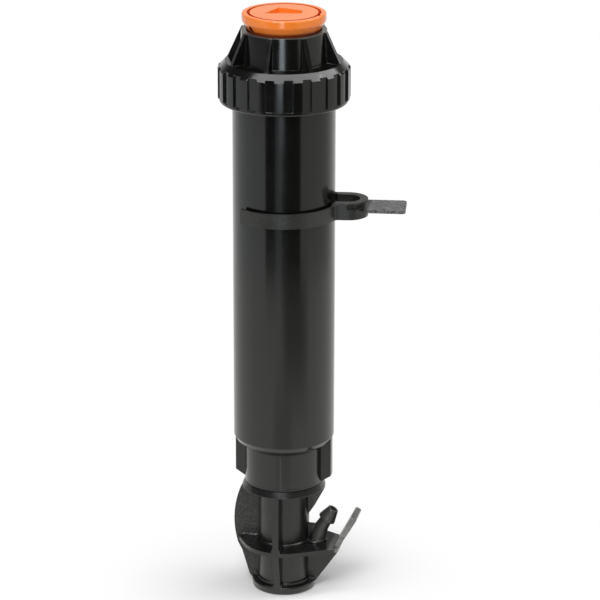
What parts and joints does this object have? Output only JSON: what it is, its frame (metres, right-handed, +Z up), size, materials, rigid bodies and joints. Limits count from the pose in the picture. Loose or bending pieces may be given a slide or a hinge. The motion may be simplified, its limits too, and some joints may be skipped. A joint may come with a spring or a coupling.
{
  "type": "pop-up sprinkler",
  "caption": "Small pop-up irrigation sprinkler with tubular body, ribbed collar nut, spring-retracted riser, orange nozzle, push-on clip and barbed base fitting.",
  "frame": {"origin": "centre of the stake socket's mouth, on the main axis at the underside of the base fitting", "axes": "+Z up along the main axis, towards the nozzle; +X towards the hose barb; the part is symmetric left to right about the XZ plane apart from the clip's 7 degree turn and the nozzle's outlet"},
  "size_m": [0.0598, 0.0416, 0.1934],
  "materials": {
    "body_black": "moulded, glossy",
    "fitting_black": "moulded, satin",
    "clip_grey": "moulded, matt and grainy",
    "nozzle_orange": "moulded, glossy",
    "seal_rubber": "moulded rubber",
    "natural_plastic": "moulded, natural acetal",
    "spring_steel": "drawn stainless wire"
  },
  "bodies": {
    "housing": {"body_tube": "body_black", "inlet_socket": "body_black", "inlet_adapter": "fitting_black", "thread_washer": "seal_rubber", "top_nut": "body_black", "wiper_seal": "seal_rubber", "spring_seat": "natural_plastic", "return_spring": "spring_steel"},
    "riser_guide": {"ratchet_ring": "natural_plastic"},
    "riser": {"riser_stem": "body_black", "drain_seal": "seal_rubber", "filter_collar": "natural_plastic", "filter_screen": "natural_plastic", "nozzle_body": "nozzle_orange", "nozzle_o_ring": "seal_rubber", "jet_insert": "body_black"},
    "flow_control": {"flow_disc": "nozzle_orange", "disc_o_ring": "seal_rubber", "throttle_plug": "natural_plastic"},
    "clip": {"tube_clip": "clip_grey"}
  },
  "joints": [
    {"name": "riser_lift", "type": "slide", "parent": "housing", "child": "riser_guide", "axis": [0, 0, 1], "range_m": [0, 0.075], "stiffness_N_per_m": 180, "springref_m": -0.02, "deforming": ["return_spring"]},
    {"name": "riser_swivel", "type": "hinge", "parent": "riser_guide", "child": "riser", "pos_m": [0, 0, 0.06], "axis": [0, 0, 1], "continuous": true},
    {"name": "flow_turn", "type": "hinge", "parent": "riser", "child": "flow_control", "pos_m": [0, 0, 0.19], "axis": [0, 0, 1], "range_deg": [0, 90]},
    {"name": "clip_slide", "type": "slide", "parent": "housing", "child": "clip", "axis": [0, 0, 1], "range_m": [-0.074, 0.031]}
  ]
}
